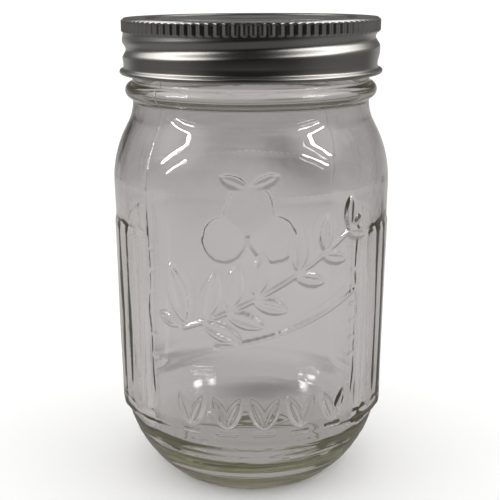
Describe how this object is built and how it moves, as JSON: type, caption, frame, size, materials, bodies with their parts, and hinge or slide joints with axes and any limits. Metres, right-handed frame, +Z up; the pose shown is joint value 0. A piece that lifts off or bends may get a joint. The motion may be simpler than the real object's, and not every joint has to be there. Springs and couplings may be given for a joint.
{
  "type": "canning jar",
  "caption": "Regular-mouth glass canning jar with raised side grips, a pressed flat sealing lid and a rolled tinplate screw band.",
  "frame": {"origin": "centre of the jar's base, on the surface that it stands on", "axes": "+Z up along the jar's axis, front with the branch relief faces -Y, raised side grips face +X and -X"},
  "size_m": [0.0782, 0.0778, 0.1306],
  "materials": {
    "glass": "clear soda-lime glass with a faint olive tint where it is thick, smooth and glossy",
    "lid_tinplate": "satin tinplate on top, white enamel underneath",
    "sealing_compound": "soft grey plastisol, matte",
    "band_tinplate": "satin silver tinplate with circumferential rolling marks"
  },
  "bodies": {
    "jar": {"jar": "glass"},
    "lid": {"flat_lid": "lid_tinplate", "seal_ring": "sealing_compound"},
    "band": {"screw_band": "band_tinplate"}
  },
  "joints": [
    {"name": "lid_lift", "type": "slide", "parent": "jar", "child": "lid", "axis": [0, 0, 1], "range_m": [0, 0.0255]},
    {"name": "band_turn", "type": "hinge", "parent": "lid", "child": "band", "pos_m": [0, 0, 0.123], "axis": [0, 0, 1], "range_deg": [0, 1440]}
  ],
  "couplings": [
    {"joint": "lid_lift", "follows": "band_turn", "m_per_rad": 0.0010106}
  ]
}
